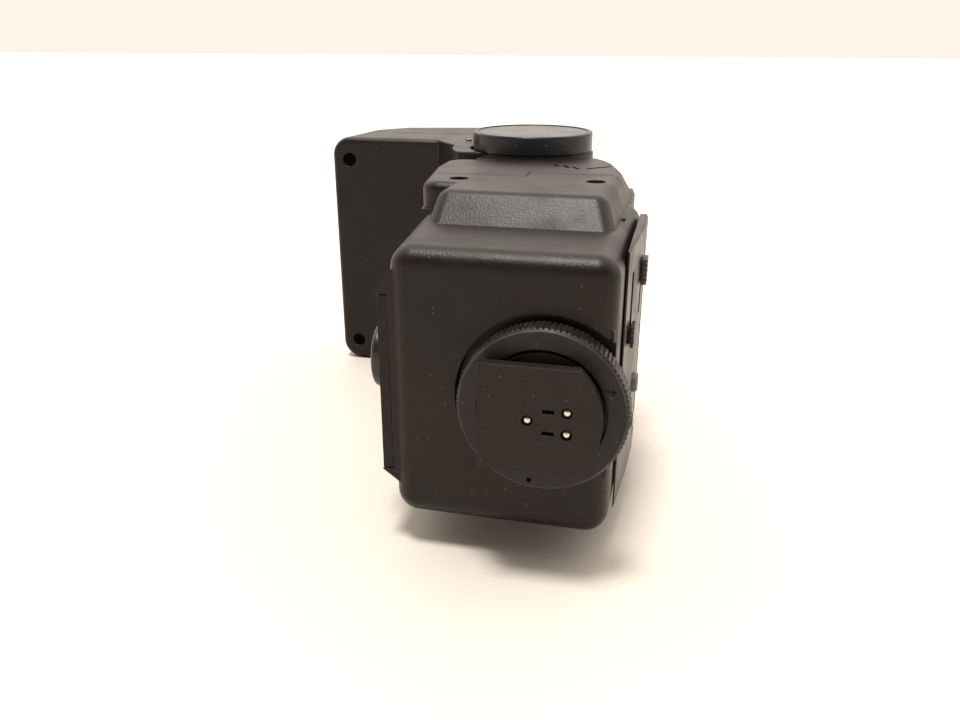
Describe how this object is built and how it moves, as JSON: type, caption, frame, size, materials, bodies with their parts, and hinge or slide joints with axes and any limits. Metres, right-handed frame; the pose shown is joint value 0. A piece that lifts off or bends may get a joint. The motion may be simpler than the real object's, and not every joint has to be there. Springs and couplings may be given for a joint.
{
  "type": "speedlight flash",
  "caption": "Clip-on camera flash with a battery body, a hot-shoe foot with a knurled locking wheel, and a lamp head that tilts between two fork arms.",
  "frame": {"origin": "centre of the hot-shoe foot's underside", "axes": "+X towards the rear control panel, +Y from the foot up the body to the head, +Z towards the flash's left side, which is up as it lies on its right side"},
  "size_m": [0.0885, 0.129, 0.0673],
  "materials": {
    "black_abs": "fine spark-eroded grain, black",
    "smooth_black": "smooth black moulding",
    "knurled_black": "black, fine teeth",
    "dark_lens": "dark red-black filter",
    "clear_lens": "ribbed clear plastic",
    "lamp_glass": "clear tube",
    "lamp_orange": "amber lens",
    "mirror_finish": "polished aluminium",
    "bright_metal": "nickel plated",
    "brass_pin": "gold-flashed contact",
    "steel": "zinc-plated steel",
    "cell_sleeve": "printed cell sleeve, plain",
    "board": "phenolic circuit board",
    "component": "moulded component",
    "capacitor_sleeve": "shrink sleeve",
    "copper": "enamelled wire",
    "rubber_boot": "silicone boot",
    "plate_print": "printed scale plate"
  },
  "bodies": {
    "body": {"foot_plate": "black_abs", "foot_stem": "black_abs", "pin_springs": "steel", "contact_board": "board", "lower_case": "black_abs", "upper_case": "black_abs", "case_screws": "steel", "front_panel": "black_abs", "sensor_bezel": "smooth_black", "sensor_lens": "dark_lens", "light_sensor": "component", "control_panel": "black_abs", "scale_plate": "plate_print", "ready_lamp": "lamp_orange", "aa_cells": "cell_sleeve", "battery_tray": "black_abs", "battery_terminals": "bright_metal", "main_board": "board", "board_parts": "component", "flash_capacitor": "capacitor_sleeve", "transformer": "copper", "hub_cap": "smooth_black"},
    "washer": {"clamp_washer": "black_abs"},
    "wheel": {"locking_wheel": "knurled_black"},
    "pin_c": {"center_pin": "brass_pin"},
    "pin_u": {"upper_pin": "brass_pin"},
    "pin_l": {"lower_pin": "brass_pin"},
    "door": {"battery_door": "black_abs"},
    "mode": {"mode_slider": "smooth_black"},
    "power": {"power_slider": "smooth_black"},
    "test": {"test_button": "smooth_black"},
    "head": {"head_lower_shell": "black_abs", "head_upper_shell": "black_abs", "head_screws": "steel", "stop_pin": "bright_metal", "window_frame": "smooth_black", "fresnel_window": "clear_lens", "reflector": "mirror_finish", "flash_tube": "lamp_glass", "tube_boots": "rubber_boot", "head_board": "board", "trigger_coil": "copper", "tilt_axle": "component", "tilt_disc": "smooth_black", "disc_inlay": "smooth_black"}
  },
  "joints": [
    {"name": "head_tilt", "type": "hinge", "parent": "body", "child": "head", "pos_m": [-0.0174, 0.088, 0], "axis": [0, 0, -1], "range_deg": [0, 90]},
    {"name": "washer_clamp", "type": "slide", "parent": "body", "child": "washer", "axis": [0, 1, 0], "range_m": [0, 0.0012]},
    {"name": "wheel_turn", "type": "hinge", "parent": "washer", "child": "wheel", "pos_m": [0, 0.006, 0], "axis": [0, 1, 0], "range_deg": [0, 432]},
    {"name": "center_contact", "type": "slide", "parent": "body", "child": "pin_c", "axis": [0, 1, 0], "range_m": [0, 0.0005], "stiffness_N_per_m": 200, "springref_m": -0.001},
    {"name": "upper_contact", "type": "slide", "parent": "body", "child": "pin_u", "axis": [0, 1, 0], "range_m": [0, 0.0005], "stiffness_N_per_m": 200, "springref_m": -0.001},
    {"name": "lower_contact", "type": "slide", "parent": "body", "child": "pin_l", "axis": [0, 1, 0], "range_m": [0, 0.0005], "stiffness_N_per_m": 200, "springref_m": -0.001},
    {"name": "door_slide", "type": "slide", "parent": "body", "child": "door", "axis": [0, -1, 0], "range_m": [0, 0.006]},
    {"name": "mode_switch", "type": "slide", "parent": "body", "child": "mode", "axis": [0, 0, 1], "range_m": [0, 0.009]},
    {"name": "power_switch", "type": "slide", "parent": "body", "child": "power", "axis": [0, 0, -1], "range_m": [0, 0.006]},
    {"name": "test_press", "type": "slide", "parent": "body", "child": "test", "axis": [-1, 0, 0], "range_m": [0, 0.0007], "stiffness_N_per_m": 400, "springref_m": -0.001}
  ],
  "couplings": [
    {"joint": "wheel_turn", "follows": "washer_clamp", "rad_per_m": 6283.2}
  ]
}
